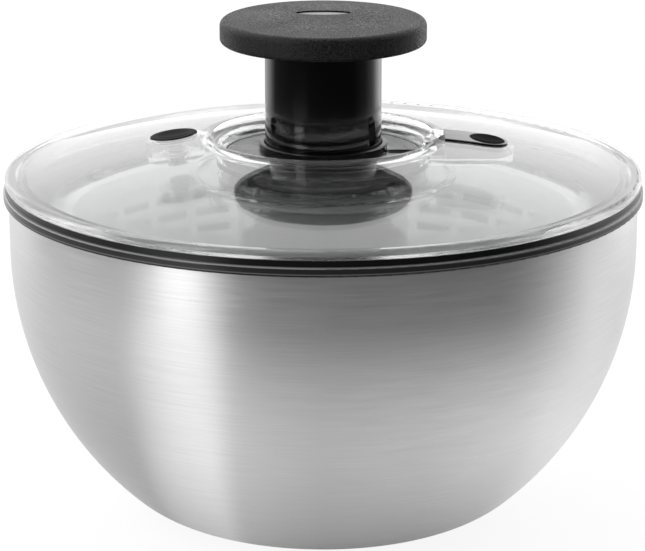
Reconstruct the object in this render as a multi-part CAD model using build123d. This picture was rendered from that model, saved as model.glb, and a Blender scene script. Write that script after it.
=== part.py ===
from build123d import *
from math import cos, degrees, hypot, pi, radians, sin, sqrt, tan
import os

# Salad spinner with a push-down knob, millimetres, +Z up.
# The origin is the centre of the foot, on the surface that it stands on.
# The lock lies along +X from the middle, the brake along -X.

os.makedirs("parts", exist_ok=True)

# Clearances
RUN_GAP = 0.35        # sliding and turning faces of different bodies
SEAT_GAP = 0.1        # round pieces seated in one another on one body
STOP_GAP = 0.2        # a stop and the face that it meets
SCREW_GAP = 0.1       # a screw's shank in its hole

# Bowl: pressed sheet with a folded rim and a pivot pressed up in its base
FOOT_H = 1.4
FOOT_W = 9.0
FOOT_INSET = 2.0
BOWL_R = 129.9
BOWL_H = 136.6
BOWL_WALL = 0.9
BOWL_STRAIGHT = 22.2
BOWL_LEAN = 48.0      # where the side curve passes into the heel, degrees below level
BASE_SHARE = 0.4233   # base radius as a share of the bowl's
HEM_H = 7.0
PIVOT_H = 10.0
PIVOT_TIP_R = 3.0
PIVOT_FOOT_R = 12.0

# Gasket between the bowl and the lid
GASKET_LIP_W = 1.75
GASKET_TUCK_W = 3.05
GASKET_WEB = 4.3
GASKET_LIP_DROP = 1.9
GASKET_LIP_RISE = 1.8
GASKET_NECK = 1.5
GASKET_TUCK = 3.5

# Lid: clear dome with a rim bead, a stepped well, a brake pocket and a lock channel
LID_SET = 0.7         # the lid's edge stands in from the gasket's
LID_WALL = 2.4
LID_RIM_H = 3.7
LID_BEAD_W = 4.4
LID_STEP = 0.85
LID_SKIRT_DROP = 4.8
DOME_R = 473.0
WELL_R = 46.3
WELL_LIP_W = 1.8
WELL_LIP_H = 0.45
WELL_DEPTH = 7.5
WELL_STEP_IN = 2.9
WELL_STEP_H = 3.7
LEDGE_IN = 2.4
LEDGE_H = 3.3

# Mechanism housing, hung under the well
FLOOR_FIT = 0.4
COLLAR_H = 4.7
COLLAR_WALL = 2.05
TUBE_WALL = 2.5
CORE_WALL = 2.4
FLANGE_T = 2.4
FLANGE_LAP = 3.4
WEB_T = 3.0
LIP_T = 3.0
CORE_RISE = 4.5
KEY_W = 4.0
KEY_H = 1.5

# Plunger: soft knob on a core, outer sleeve, inner stem and drive nut
TRAVEL = 42.0
KNOB_R = 42.4
KNOB_H = 9.7
KNOB_GAP = 4.1
KNOB_CROWN = 0.6
KNOB_SKIN = 2.4
KNOB_TOP_ROUND = 2.6
KNOB_LOW_ROUND = 2.0
CORE_PLATE = 2.8
CORE_RIB = 3.0
BADGE_L = 22.5
BADGE_W = 9.0
BADGE_T = 0.8
BADGE_Y = 10.0
SLEEVE_R = 24.0
SLEEVE_WALL = 2.0
STEM_R = 13.5
STEM_WALL = 2.5
STEM_FLANGE_T = 3.5
NUT_T = 6.0
NUT_R = 15.5
PISTON_H = 15.8
CATCH_H = 4.5
CATCH_W = 7.2

# Twisted spindle and one-way clutch
LEAD = 32.0
BAR = 11.0
BAR_ROUND = 1.5
BAR_GAP = 0.3
JOURNAL_R = 5.8
THRUST_R = 9.5
THRUST_T = 2.8
CAP_T = 3.0
WASHER_T = 1.5
CAM_R = 13.2
CAM_T = 7.6
ROLLER_R = 2.0
ROLLER_COUNT = 3
RACE_WALL = 3.0
CLIP_T = 1.2

# Return spring, round wire
SPRING_R = 9.0
SPRING_WIRE = 1.3
SPRING_TURNS = 8

# Turntable over the basket, with the drive cup under it
TABLE_DROP = 16.4
TABLE_WALL = 2.0
TABLE_LAP = 2.4       # the turntable reaches past the basket's rim
TABLE_SKIRT = 6.5
TABLE_SKIRT_W = 1.6
HUB_LAP = 0.5
HUB_T = 5.9
RIB_OUT = 12.0        # ring rib outside the hub
RIB_W = 3.0
RIB_H = 0.9
CUP_R = 35.0
CUP_WALL = 2.5
CUP_FLANGE_T = 3.0
CUP_FLOOR_T = 3.0
CUP_SCREWS = 4
RING_T = 1.6
RING_W = 3.7

# Basket: slotted moulding
BASKET_CLEAR = 19.3   # rim of the basket to the bowl's edge
BASKET_LOW_CLEAR = 13.76
BASKET_TOP_DROP = 11.0
BASKET_WALL = 2.0
BASKET_RIM_W = 5.0
BASKET_RIM_T = 2.2
BASKET_FLOOR_Z = 14.0
BASKET_HEEL = 16.0
BASKET_COLUMNS = 30
BASKET_ROWS = 11
SLIT_H = 3.2
SLIT_W = 18.0
SLIT_FIRST_UP = 7.0   # first row over the heel
SLIT_LAST_DOWN = 15.0
FLOOR_SLITS = 24
FLOOR_SLIT_IN = 24.0
FLOOR_SLIT_MARGIN = 24.5
FLOOR_SLIT_W = 3.2
PIVOT_CUP_R = 8.0
LUGS = 12
LUG_W = 6.0
LUG_H = 2.2
LUG_DEPTH = 3.6

# Brake, along the dome's normal at its own place
BRAKE_OUT = 15.9      # button outside the well
BRAKE_Y = 8.1
BUTTON_R = 9.9
BUTTON_T = 3.7
BUTTON_PROUD = 0.3
BUTTON_DISH = 26.0
POCKET_DEPTH = 8.9
POCKET_WALL = 1.8
POCKET_FLOOR = 1.8
BRAKE_STEM_R = 3.0
BRAKE_TRAVEL = 2.8
PAD_R = 4.2
PAD_T = 1.6
BRAKE_CLIP_R = 4.8
BRAKE_CLIP_T = 0.8
BRAKE_SPRING_R = 5.0
BRAKE_WIRE = 0.7
BRAKE_TURNS = 3

# Lock, sliding inwards along -X
LOCK_TRAVEL = 4.5
LOCK_OUT = 3.7        # slider outside the well
LOCK_L = 17.6
LOCK_W = 17.0
LOCK_GAP = 0.5
LOCK_SINK = -0.8      # the slider stands proud of the dome
TRAY_WALL = 2.0
TRAY_FLOOR = 2.0
BOLT_T = 1.8
BOLT_W = 6.0
BOLT_TAIL = 10.0
THUMB_L = 14.6
THUMB_W = 16.4
THUMB_T = 3.3
THUMB_PROUD = 1.0
THUMB_DISH = 24.0

# Screws
SCREW_R = 1.5
SCREW_HEAD_R = 2.9
SCREW_HEAD_H = 1.9
KNOB_SCREW_R = 16.6
KNOB_SCREWS = 3
KNOB_SCREW_L = 5.2
CUP_SCREW_L = 6.5

# Levels and radii that follow from the sizes above
GROOVE_OUT = BOWL_R + RUN_GAP
GROOVE_IN = BOWL_R - 2 * BOWL_WALL - RUN_GAP
GASKET_R = GROOVE_OUT + GASKET_LIP_W
GASKET_IN = GROOVE_IN - GASKET_TUCK_W
LID_R = GASKET_R - LID_SET
LID_SKIRT_R = GASKET_IN - SEAT_GAP
BASE_R = BASE_SHARE * BOWL_R
WELL_STEP_R = WELL_R - WELL_STEP_IN
LEDGE_R = WELL_STEP_R - LEDGE_IN
BRAKE_X = -WELL_R - BRAKE_OUT
LOCK_IN = WELL_R + LOCK_OUT
LOCK_END_X = LOCK_IN + LOCK_L
CUP_IN = CUP_R - CUP_WALL
CUP_SCREW_R = CUP_R + SCREW_HEAD_R + STOP_GAP
CUP_FLANGE_R = CUP_SCREW_R + SCREW_HEAD_R
HUB_R = CUP_FLANGE_R + HUB_LAP
RIB_R = HUB_R + RIB_OUT
BASKET_R = BOWL_R - BASKET_CLEAR
TABLE_R = BASKET_R + TABLE_LAP
RIM_Z = FOOT_H + BOWL_H
LID_Z = RIM_Z + GASKET_WEB
CROWN_Z = LID_Z + LID_RIM_H
BEAD_R = LID_R - LID_BEAD_W
DOME_EDGE_R = BEAD_R - LID_STEP
DOME_CENTRE = CROWN_Z - LID_STEP - sqrt(DOME_R**2 - DOME_EDGE_R**2)


def dome(r, sink=0.0):
    """Height of the dome, or of a dome sunk below it, at radius r."""
    return DOME_CENTRE + sqrt((DOME_R - sink) ** 2 - r**2)


LIP_OUT_R = WELL_R + WELL_LIP_W
LIP_Z = dome(LIP_OUT_R) + WELL_LIP_H
FLOOR_Z = LIP_Z - WELL_DEPTH
LEDGE_Z = FLOOR_Z + FLOOR_FIT
FLANGE_Z = LEDGE_Z - LEDGE_H
FLANGE_LOW = FLANGE_Z - FLANGE_T
PLATE_R = LEDGE_R - FLOOR_FIT

GUIDE_R = SLEEVE_R + RUN_GAP
COLLAR_R = GUIDE_R + COLLAR_WALL
TUBE_R = GUIDE_R + TUBE_WALL
SLEEVE_IN = SLEEVE_R - SLEEVE_WALL
CORE_R = SLEEVE_IN - RUN_GAP
CORE_BORE = CORE_R - CORE_WALL
PISTON_R = CORE_BORE - RUN_GAP
STEM_BORE = STEM_R - STEM_WALL
LIP_BORE = STEM_R + 2 * RUN_GAP
CORE_TOP = FLOOR_Z + CORE_RISE
PISTON_TOP = CORE_TOP - LIP_T - STOP_GAP
PISTON_LOW = PISTON_TOP - PISTON_H
NUT_TOP = PISTON_LOW + NUT_T
SLEEVE_LOW = FLOOR_Z + FLOOR_FIT

KNOB_Z = FLOOR_Z + KNOB_GAP + TRAVEL
KNOB_TOP = KNOB_Z + KNOB_H
PLATE_TOP = KNOB_TOP - KNOB_SKIN
PLATE_LOW = PLATE_TOP - CORE_PLATE
CORE_SIDE = KNOB_R - KNOB_SKIN - SEAT_GAP
STEM_FLANGE_R = SLEEVE_IN - 2 * RUN_GAP

BAR_TOP = NUT_TOP
THRUST_TOP = PISTON_LOW - TRAVEL - STOP_GAP
THRUST_LOW = THRUST_TOP - THRUST_T
WEB_TOP = THRUST_LOW - STOP_GAP
WEB_LOW = WEB_TOP - WEB_T
WASHER_TOP = WEB_LOW - STOP_GAP
CAM_TOP = WASHER_TOP - WASHER_T
CAM_LOW = CAM_TOP - CAM_T
ROLLER_PITCH = CAM_R + 0.65 * ROLLER_R
RACE_R = ROLLER_PITCH + ROLLER_R + RUN_GAP
CLIP_LOW = CAM_LOW - CLIP_T
JOURNAL_LOW = CLIP_LOW - 1.0
CUP_FLOOR_Z = JOURNAL_LOW - 2 * STOP_GAP

TABLE_TOP = dome(HUB_R, TABLE_DROP)
HUB_LOW = TABLE_TOP - HUB_T
RING_TOP = HUB_LOW - STOP_GAP
TABLE_BORE = TUBE_R + RUN_GAP
RING_OUT = TUBE_R + RING_W
BASKET_TOP = RIM_Z - BASKET_TOP_DROP

CHANNEL_Z = FLOOR_Z - BOLT_T - 2 * STOP_GAP
BOLT_Z = CHANNEL_Z + STOP_GAP
CHANNEL_HALF = LOCK_W / 2 + LOCK_GAP
BOLT_TIP = CORE_R + RUN_GAP + STOP_GAP + LOCK_TRAVEL
POCKET_R = BUTTON_R + RUN_GAP


def normal_frame(x, y):
    """Frame on the dome at (x, y) with its Z along the outward normal."""
    height = dome(hypot(x, y))
    up = Vector(x, y, height - DOME_CENTRE).normalized()
    across = Vector(0, 1, 0).cross(up).normalized()
    return Plane(origin=(x, y, height), x_dir=across, z_dir=up)


BRAKE = normal_frame(BRAKE_X, BRAKE_Y)
THUMB = normal_frame(LOCK_END_X, 0)


def outline(corners):
    """Closed r-z face; a corner is (r, z), (r, z, rounding) or (r, z, 0, (r, z) on an arc to the next)."""
    points = [Vector(c[0], 0, c[1]) for c in corners]
    turns = []
    for i, corner in enumerate(corners):
        here = points[i]
        rounding = corner[2] if len(corner) > 2 else 0
        if not rounding:
            turns.append((here, None, here))
            continue
        back = (points[i - 1] - here).normalized()
        ahead = (points[(i + 1) % len(points)] - here).normalized()
        half = radians(back.get_angle(ahead)) / 2
        reach = rounding / tan(half)
        middle = here + (back + ahead).normalized() * (rounding / sin(half) - rounding)
        turns.append((here + back * reach, middle, here + ahead * reach))
    edges = []
    for i, (start, middle, end) in enumerate(turns):
        if middle is not None:
            edges.append(ThreePointArc(start, middle, end))
        following = turns[(i + 1) % len(turns)][0]
        if len(corners[i]) > 3:
            via = corners[i][3]
            edges.append(ThreePointArc(end, Vector(via[0], 0, via[1]), following))
        elif (following - end).length > 1e-6:
            edges.append(Line(end, following))
    return make_face(edges)


def lathe(corners):
    return revolve(outline(corners), Axis.Z)


def tube(inner, outer, low, high):
    ring = Circle(outer)
    if inner > 0:
        ring -= Circle(inner)
    return Pos(0, 0, low) * extrude(ring, high - low)


def block(x0, x1, width, low, high):
    """Box from x0 to x1, centred on Y."""
    return Pos((x0 + x1) / 2, 0, (low + high) / 2) * Box(x1 - x0, width, high - low)


def around(shape, count, start=0.0):
    return [Rot(0, 0, start + 360 * i / count) * shape for i in range(count)]


def under_dome(sink, low, reach):
    """Solid below a dome that lies sink under the lid's outer face."""
    middle = reach / 2
    return lathe([(0, low), (reach, low), (reach, dome(reach, sink), 0, (middle, dome(middle, sink))),
                  (0, dome(0, sink))])


def screw(length):
    """Screw along +Z with its head under z = 0."""
    head = lathe([(0, -SCREW_HEAD_H), (SCREW_HEAD_R, -SCREW_HEAD_H, 0.6), (SCREW_HEAD_R, 0), (0, 0)])
    shank = tube(0, SCREW_R, 0, length)
    socket = Pos(0, 0, -SCREW_HEAD_H) * extrude(RegularPolygon(SCREW_R, 6), SCREW_HEAD_H * 0.6)
    return head + shank - socket


def coil(radius, wire, low, high, turns):
    """Open coil of round wire, swept on two arcs to each quarter turn."""
    rise = (high - low - wire) / turns

    def place(turn):
        a = 2 * pi * turn
        point = Vector(radius * cos(a), radius * sin(a), low + wire / 2 + rise * turn)
        along = Vector(-2 * pi * radius * sin(a), 2 * pi * radius * cos(a), rise)
        return point, along.normalized()

    edges = []
    for i in range(turns * 4):
        start, out = place(i / 4)
        end, into = place((i + 1) / 4)
        span = end - start
        both = out + into
        a = 2 * (out.dot(into) - 1)
        b = -2 * span.dot(both)
        reach = (-b - sqrt(b * b - 4 * a * span.dot(span))) / (2 * a)
        middle = (start + end + (out - into) * reach) * 0.5
        bend = ((end - into * reach) - (start + out * reach)).normalized()
        edges.append(TangentArc(start, middle, tangent=out))
        edges.append(TangentArc(middle, end, tangent=bend))
    path = Wire(edges)
    start, out = place(0)
    print("coil: gap between turns", round(rise - wire, 2))
    return sweep(Plane(origin=start, z_dir=out) * Circle(wire / 2), path=path)


def bowl_curves():
    """Top level, side radius and heel radius of the curve from the upright wall to the level base."""
    lean = radians(BOWL_LEAN)
    top = RIM_Z - BOWL_STRAIGHT
    width = BOWL_R - BASE_R
    height = top - FOOT_H
    scale = (1 - cos(lean)) * (1 - sin(lean)) - cos(lean) * sin(lean)
    side_r = (width * (1 - sin(lean)) - height * cos(lean)) / scale
    heel_r = (height * (1 - cos(lean)) - width * sin(lean)) / scale
    return top, side_r, heel_r


def bowl_r(z):
    """Outer radius of the bowl at a level on its side curve."""
    top, side_r, _ = bowl_curves()
    return BOWL_R - side_r + sqrt(side_r**2 - (top - z) ** 2)


BASKET_LOW_R = bowl_r(BASKET_FLOOR_Z + BASKET_HEEL) - BASKET_LOW_CLEAR
SLIT_FIRST = BASKET_FLOOR_Z + BASKET_HEEL + SLIT_FIRST_UP
SLIT_LAST = BASKET_TOP - SLIT_LAST_DOWN
FLOOR_SLIT_OUT = BASKET_LOW_R - FLOOR_SLIT_MARGIN


def bowl_profile(inset):
    """Points of the bowl's side and heel curves, for a wall inset from the outer face."""
    lean = radians(BOWL_LEAN)
    top, side_r, heel_r = bowl_curves()
    side = (BOWL_R - side_r, top)
    gap = side_r - heel_r
    heel = (side[0] + gap * cos(lean), top - gap * sin(lean))
    side_r -= inset
    heel_r -= inset

    def on(centre, radius, angle):
        return (centre[0] + radius * cos(angle), centre[1] - radius * sin(angle))

    return {
        "top": (BOWL_R - inset, top),
        "side": on(side, side_r, lean / 2),
        "join": on(side, side_r, lean),
        "heel": on(heel, heel_r, (lean + pi / 2) / 2),
        "base": (heel[0], FOOT_H + inset),
    }


def bowl():
    out = bowl_profile(0)
    inn = bowl_profile(BOWL_WALL)
    tip = FOOT_H + PIVOT_H
    hem = BOWL_R - 2 * BOWL_WALL
    return lathe([
        (0, tip - BOWL_WALL),
        (PIVOT_TIP_R - BOWL_WALL, tip - BOWL_WALL, 0.4),
        (PIVOT_FOOT_R - BOWL_WALL, FOOT_H, 1.0),
        (*out["base"], 0, out["heel"]),
        (*out["join"], 0, out["side"]),
        out["top"],
        (BOWL_R, RIM_Z, 0.4),
        (hem, RIM_Z, 0.4),
        (hem, RIM_Z - HEM_H),
        (BOWL_R - BOWL_WALL, RIM_Z - HEM_H - BOWL_WALL),
        (*inn["top"], 0, inn["side"]),
        (*inn["join"], 0, inn["heel"]),
        inn["base"],
        (PIVOT_FOOT_R, FOOT_H + BOWL_WALL, 1.9),
        (PIVOT_TIP_R, tip, 1.2),
        (0, tip),
    ])


def foot_ring():
    outer = BASE_R - FOOT_INSET
    return lathe([(outer - FOOT_W, 0, 0.4), (outer, 0, 0.4), (outer, FOOT_H), (outer - FOOT_W, FOOT_H)])


def rim_gasket():
    shoulder = RIM_Z + GASKET_LIP_RISE
    return lathe([
        (GASKET_IN, RIM_Z - GASKET_TUCK, 0.5),
        (GROOVE_IN, RIM_Z - GASKET_TUCK, 0.5),
        (GROOVE_IN, RIM_Z),
        (GROOVE_OUT, RIM_Z),
        (GROOVE_OUT, RIM_Z - GASKET_LIP_DROP),
        (GASKET_R, RIM_Z - GASKET_LIP_DROP, 0.6),
        (GASKET_R, shoulder, 0.9),
        (GASKET_R - GASKET_NECK, shoulder, 0.3),
        (GASKET_R - GASKET_NECK, LID_Z - SEAT_GAP),
        (GASKET_IN, LID_Z - SEAT_GAP),
    ])


def lid_shell():
    under = LID_SKIRT_R - LID_WALL
    middle = (DOME_EDGE_R + LIP_OUT_R) / 2
    inside = (under + LIP_OUT_R + LID_WALL) / 2
    ledge_out = LEDGE_R + FLANGE_LAP - FLOOR_FIT
    step_z = LEDGE_Z + WELL_STEP_H
    return lathe([
        (LEDGE_R, FLANGE_Z),
        (LEDGE_R, LEDGE_Z, 0.3),
        (LEDGE_R + 1.2, LEDGE_Z, 0.5),
        (WELL_STEP_R, step_z - 0.4, 0.8),
        (WELL_R - 1.1, step_z, 0.6),
        (WELL_R, LIP_Z, 0.6),
        (LIP_OUT_R, LIP_Z, 0.6),
        (LIP_OUT_R + 0.6, dome(LIP_OUT_R + 0.6), 0, (middle, dome(middle))),
        (DOME_EDGE_R, dome(DOME_EDGE_R)),
        (BEAD_R, CROWN_Z, 0.4),
        (LID_R, CROWN_Z, 2.0),
        (LID_R, LID_Z, 0.9),
        (LID_SKIRT_R, LID_Z),
        (LID_SKIRT_R, LID_Z - LID_SKIRT_DROP, 0.5),
        (under, LID_Z - LID_SKIRT_DROP, 0.5),
        (under, dome(under, LID_WALL), 0, (inside, dome(inside, LID_WALL))),
        (LIP_OUT_R + LID_WALL, dome(LIP_OUT_R + LID_WALL, LID_WALL)),
        (WELL_R + 1.3, step_z - LID_WALL, 0.8),
        (ledge_out, step_z - LID_WALL - 0.4),
        (ledge_out, FLANGE_Z),
    ])


def lock_plan(half, inner, end):
    """Channel plan: a strip along X with a round outer end."""
    strip = Pos((inner + end) / 2, 0) * Rectangle(end - inner, 2 * half)
    return strip + Pos(end, 0) * Circle(half)


def lid_cover():
    lid = lid_shell()
    buried = LID_WALL / 2
    lid += BRAKE * tube(0, POCKET_R + POCKET_WALL, -POCKET_DEPTH - POCKET_FLOOR, -buried)
    tray = lock_plan(CHANNEL_HALF + TRAY_WALL, LEDGE_R + 1.2, LOCK_END_X)
    tray_low = CHANNEL_Z - TRAY_FLOOR
    tray_high = LIP_Z + LID_WALL
    lid += (Pos(0, 0, tray_low) * extrude(tray, tray_high - tray_low)) & under_dome(buried, tray_low, LID_R)
    lid -= tube(0, PLATE_R + FLANGE_LAP + FLOOR_FIT, tray_low - 1, FLANGE_Z)
    lid -= BRAKE * tube(0, POCKET_R, -POCKET_DEPTH, 4 * BUTTON_PROUD)
    lid -= BRAKE * tube(0, BRAKE_STEM_R + RUN_GAP, -POCKET_DEPTH - 2 * POCKET_FLOOR, 0)
    channel = lock_plan(CHANNEL_HALF, LEDGE_R - 1, LOCK_END_X)
    lid -= Pos(0, 0, CHANNEL_Z) * extrude(channel, tray_high - CHANNEL_Z)
    return lid


def well_floor():
    """Floor plate of the well with the collar round the sleeve."""
    plate = lathe([
        (GUIDE_R, FLANGE_LOW),
        (PLATE_R + FLANGE_LAP, FLANGE_LOW),
        (PLATE_R + FLANGE_LAP, FLANGE_Z - SEAT_GAP),
        (PLATE_R, FLANGE_Z - SEAT_GAP),
        (PLATE_R, FLOOR_Z, 0.4),
        (COLLAR_R, FLOOR_Z, 0.8),
        (COLLAR_R, FLOOR_Z + COLLAR_H, 0.6),
        (GUIDE_R, FLOOR_Z + COLLAR_H, 0.5),
    ])
    return plate - block(CORE_R, PLATE_R + 1, BOLT_W + 2 * RUN_GAP, CHANNEL_Z, FLOOR_Z + 0.05)


def guide_tube():
    """Outer tube for the sleeve and inner tube for the stem, joined by a web."""
    bore = JOURNAL_R + RUN_GAP
    body = lathe([
        (bore, WEB_LOW),
        (TUBE_R, WEB_LOW, 0.8),
        (TUBE_R, FLANGE_LOW),
        (GUIDE_R, FLANGE_LOW),
        (GUIDE_R, WEB_TOP),
        (CORE_R, WEB_TOP),
        (CORE_R, CORE_TOP, 0.5),
        (LIP_BORE, CORE_TOP, 0.5),
        (LIP_BORE, CORE_TOP - LIP_T),
        (CORE_BORE, CORE_TOP - LIP_T),
        (CORE_BORE, WEB_TOP),
        (bore, WEB_TOP),
    ])
    key_out = PISTON_R + KEY_H + RUN_GAP
    body -= block(-key_out, key_out, KEY_W + 2 * RUN_GAP, WEB_TOP, CORE_TOP - LIP_T) & tube(
        CORE_BORE - 1, key_out, WEB_TOP, CORE_TOP - LIP_T)
    body -= tube(TUBE_R - 1, TUBE_R + 1, RING_TOP - RING_T - SEAT_GAP, RING_TOP + SEAT_GAP)
    return body


def support_ring():
    """Open ring that snaps into the housing's groove and carries the turntable."""
    ring = tube(TUBE_R - 1 + SEAT_GAP, RING_OUT, RING_TOP - RING_T, RING_TOP)
    return ring - block(-RING_OUT - 1, 0, 12, RING_TOP - 2 * RING_T, RING_TOP + RING_T)


def knob_cap():
    middle = KNOB_R / 2
    inside = KNOB_R - KNOB_SKIN
    edge = KNOB_R - KNOB_TOP_ROUND
    shell = lathe([
        (0, KNOB_TOP + KNOB_CROWN, 0, (middle, KNOB_TOP + 0.75 * KNOB_CROWN)),
        (edge, KNOB_TOP, 0, (edge + KNOB_TOP_ROUND * sin(pi / 4), KNOB_TOP - KNOB_TOP_ROUND * (1 - cos(pi / 4)))),
        (KNOB_R, KNOB_TOP - KNOB_TOP_ROUND),
        (KNOB_R, KNOB_Z, KNOB_LOW_ROUND),
        (inside, KNOB_Z),
        (inside, PLATE_TOP),
        (0, PLATE_TOP),
    ])
    return shell - badge_seat(SEAT_GAP, KNOB_TOP + 2)


def badge_seat(gap, high):
    seat_z = KNOB_TOP - BADGE_T
    return Pos(0, BADGE_Y, seat_z) * extrude(Ellipse(BADGE_L / 2 + gap, BADGE_W / 2 + gap), high - seat_z)


def knob_badge():
    return badge_seat(0, KNOB_TOP + KNOB_CROWN)


def knob_core():
    socket = SLEEVE_R + SEAT_GAP
    low = KNOB_Z + 0.3
    rib_low = KNOB_Z + COLLAR_H - KNOB_GAP + 2 * RUN_GAP
    core = lathe([
        (0, PLATE_LOW),
        (socket, PLATE_LOW),
        (socket, rib_low, 0.4),
        (socket + CORE_RIB, rib_low, 0.4),
        (socket + CORE_RIB, PLATE_LOW),
        (CORE_SIDE - CORE_RIB, PLATE_LOW),
        (CORE_SIDE - CORE_RIB, low, 0.4),
        (CORE_SIDE, low, 0.4),
        (CORE_SIDE, PLATE_TOP),
        (0, PLATE_TOP),
    ])
    hole = Pos(KNOB_SCREW_R, 0, 0) * tube(0, SCREW_R + SCREW_GAP, PLATE_LOW - 1, PLATE_LOW + KNOB_SCREW_L - STEM_FLANGE_T + 0.2)
    return core - around(hole, KNOB_SCREWS, 90)


def plunger_sleeve():
    sleeve = tube(SLEEVE_IN, SLEEVE_R, SLEEVE_LOW, PLATE_LOW)
    catch_z = BOLT_Z + BOLT_T / 2 + TRAVEL
    return sleeve - block(0, SLEEVE_R + 1, CATCH_W, catch_z - CATCH_H / 2, catch_z + CATCH_H / 2)


def plunger_stem():
    seat = NUT_R + SEAT_GAP
    flange_low = PLATE_LOW - STEM_FLANGE_T
    stem = lathe([
        (STEM_BORE, NUT_TOP),
        (seat, NUT_TOP),
        (seat, PISTON_LOW),
        (PISTON_R, PISTON_LOW, 0.4),
        (PISTON_R, PISTON_TOP, 0.4),
        (STEM_R, PISTON_TOP),
        (STEM_R, flange_low),
        (STEM_FLANGE_R, flange_low, 0.4),
        (STEM_FLANGE_R, PLATE_LOW),
        (STEM_BORE, PLATE_LOW),
    ])
    key_out = PISTON_R + KEY_H
    keys = block(-key_out, key_out, KEY_W, PISTON_LOW, PISTON_TOP) & tube(PISTON_R - 1, key_out, PISTON_LOW, PISTON_TOP)
    stem += keys
    hole = Pos(KNOB_SCREW_R, 0, 0) * tube(0, SCREW_R + SCREW_GAP, flange_low - 1, PLATE_LOW + 1)
    head = Pos(KNOB_SCREW_R, 0, 0) * tube(0, SCREW_HEAD_R + SCREW_GAP, flange_low - 1, flange_low + SCREW_HEAD_H)
    return stem - around(hole + head, KNOB_SCREWS, 90)


def knob_screws():
    low = PLATE_LOW - STEM_FLANGE_T + SCREW_HEAD_H
    return around(Pos(KNOB_SCREW_R, 0, low) * screw(KNOB_SCREW_L - SCREW_HEAD_H), KNOB_SCREWS, 90)


def twisted(size, rounding, low, high, start_z):
    """Twisted square bar whose section stands square to X at start_z."""
    turn = 360 * (high - low) / LEAD
    section = RectangleRounded(size, size, rounding).face()
    bar = Solid.extrude_linear_with_rotation(section, (0, 0, 0), (0, 0, high - low), turn)
    return Pos(0, 0, low) * Rot(0, 0, 360 * (low - start_z) / LEAD) * bar


def drive_nut():
    body = tube(0, NUT_R, PISTON_LOW, NUT_TOP)
    return body - twisted(BAR + 2 * BAR_GAP, BAR_ROUND, PISTON_LOW - 1, NUT_TOP + 1, THRUST_TOP)


def twist_spindle():
    spindle = twisted(BAR, BAR_ROUND, THRUST_TOP, BAR_TOP, THRUST_TOP)
    spindle += tube(0, THRUST_R, THRUST_LOW, THRUST_TOP)
    spindle += tube(0, JOURNAL_R, JOURNAL_LOW, THRUST_LOW)
    spindle -= tube(JOURNAL_R - 0.8, JOURNAL_R + 1, CLIP_LOW - SEAT_GAP / 2, CAM_LOW)
    spindle += tube(0, BAR / 2 - 1.5, BAR_TOP, BAR_TOP + CAP_T - 1)
    return spindle


def spring_cap():
    """Cap on the spindle's top that the return spring stands on."""
    cap = tube(0, SPRING_R + SPRING_WIRE, BAR_TOP, BAR_TOP + CAP_T)
    return cap - tube(0, BAR / 2 - 1.5 + SEAT_GAP, BAR_TOP - 1, BAR_TOP + CAP_T - 1)


def roller(gap):
    return Pos(ROLLER_PITCH, 0, 0) * tube(0, ROLLER_R + gap, CAM_LOW + 0.6 - gap, CAM_TOP - 0.6 + gap)


def clutch_cam():
    cam = tube(JOURNAL_R + SEAT_GAP / 2, CAM_R + ROLLER_R, CAM_LOW, CAM_TOP)
    pocket = roller(SEAT_GAP) + block(ROLLER_PITCH, CAM_R + 2 * ROLLER_R, 2 * (ROLLER_R + SEAT_GAP),
                                      CAM_LOW + 0.6 - SEAT_GAP, CAM_TOP - 0.6 + SEAT_GAP)
    return cam - around(pocket, ROLLER_COUNT)


def clutch_rollers():
    return around(roller(0), ROLLER_COUNT)


def thrust_washer():
    return tube(JOURNAL_R + SEAT_GAP, THRUST_R + 2, CAM_TOP, WASHER_TOP)


def spindle_clip():
    clip = tube(JOURNAL_R - 0.8 + SEAT_GAP, JOURNAL_R + 3, CLIP_LOW, CAM_LOW)
    return clip - block(0, JOURNAL_R + 4, 1.4 * JOURNAL_R, CLIP_LOW - 1, CAM_LOW + 1)


def return_spring():
    return coil(SPRING_R, SPRING_WIRE, BAR_TOP + CAP_T, PLATE_LOW, SPRING_TURNS)


def turntable():
    sink = TABLE_DROP
    under = TABLE_DROP + TABLE_WALL
    edge = TABLE_R - TABLE_SKIRT_W
    middle = (HUB_R + edge) / 2
    edge_z = dome(edge, sink)
    body = lathe([
        (TABLE_BORE, HUB_LOW),
        (TABLE_BORE, TABLE_TOP, 0.5),
        (HUB_R, TABLE_TOP, 0, (middle, dome(middle, sink))),
        (edge, edge_z, 0, (edge + TABLE_SKIRT_W * sin(pi / 4), edge_z - TABLE_SKIRT_W * (1 - cos(pi / 4)))),
        (TABLE_R, edge_z - TABLE_SKIRT_W),
        (TABLE_R, edge_z - TABLE_SKIRT),
        (edge, edge_z - TABLE_SKIRT),
        (edge, dome(edge, under), 0, (middle, dome(middle, under))),
        (HUB_R + 2, dome(HUB_R + 2, under)),
        (HUB_R + 0.5, HUB_LOW),
    ])
    rib_in = RIB_R - RIB_W / 2
    rib_out = RIB_R + RIB_W / 2
    body += tube(rib_in, rib_out, dome(rib_out, sink + 1), dome(rib_in, sink) + RIB_H)
    pilot = Pos(CUP_SCREW_R, 0, 0) * tube(0, SCREW_R + SCREW_GAP, HUB_LOW - 1, HUB_LOW + CUP_SCREW_L - CUP_FLANGE_T + 0.2)
    body -= around(pilot, CUP_SCREWS, 45)
    lug_in = BASKET_R - LUG_DEPTH - 0.5
    lug_low = BASKET_TOP + STOP_GAP + 0.3
    lug = block(lug_in, edge + TABLE_SKIRT_W / 2, LUG_W, lug_low, dome(edge, sink + TABLE_WALL / 2))
    body += around(lug, LUGS, lug_step())
    return body


def lug_step():
    """Angle from a basket lug to the turntable lug that drives it."""
    return degrees((LUG_W + 4 * RUN_GAP) / (BASKET_R - LUG_DEPTH))


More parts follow.
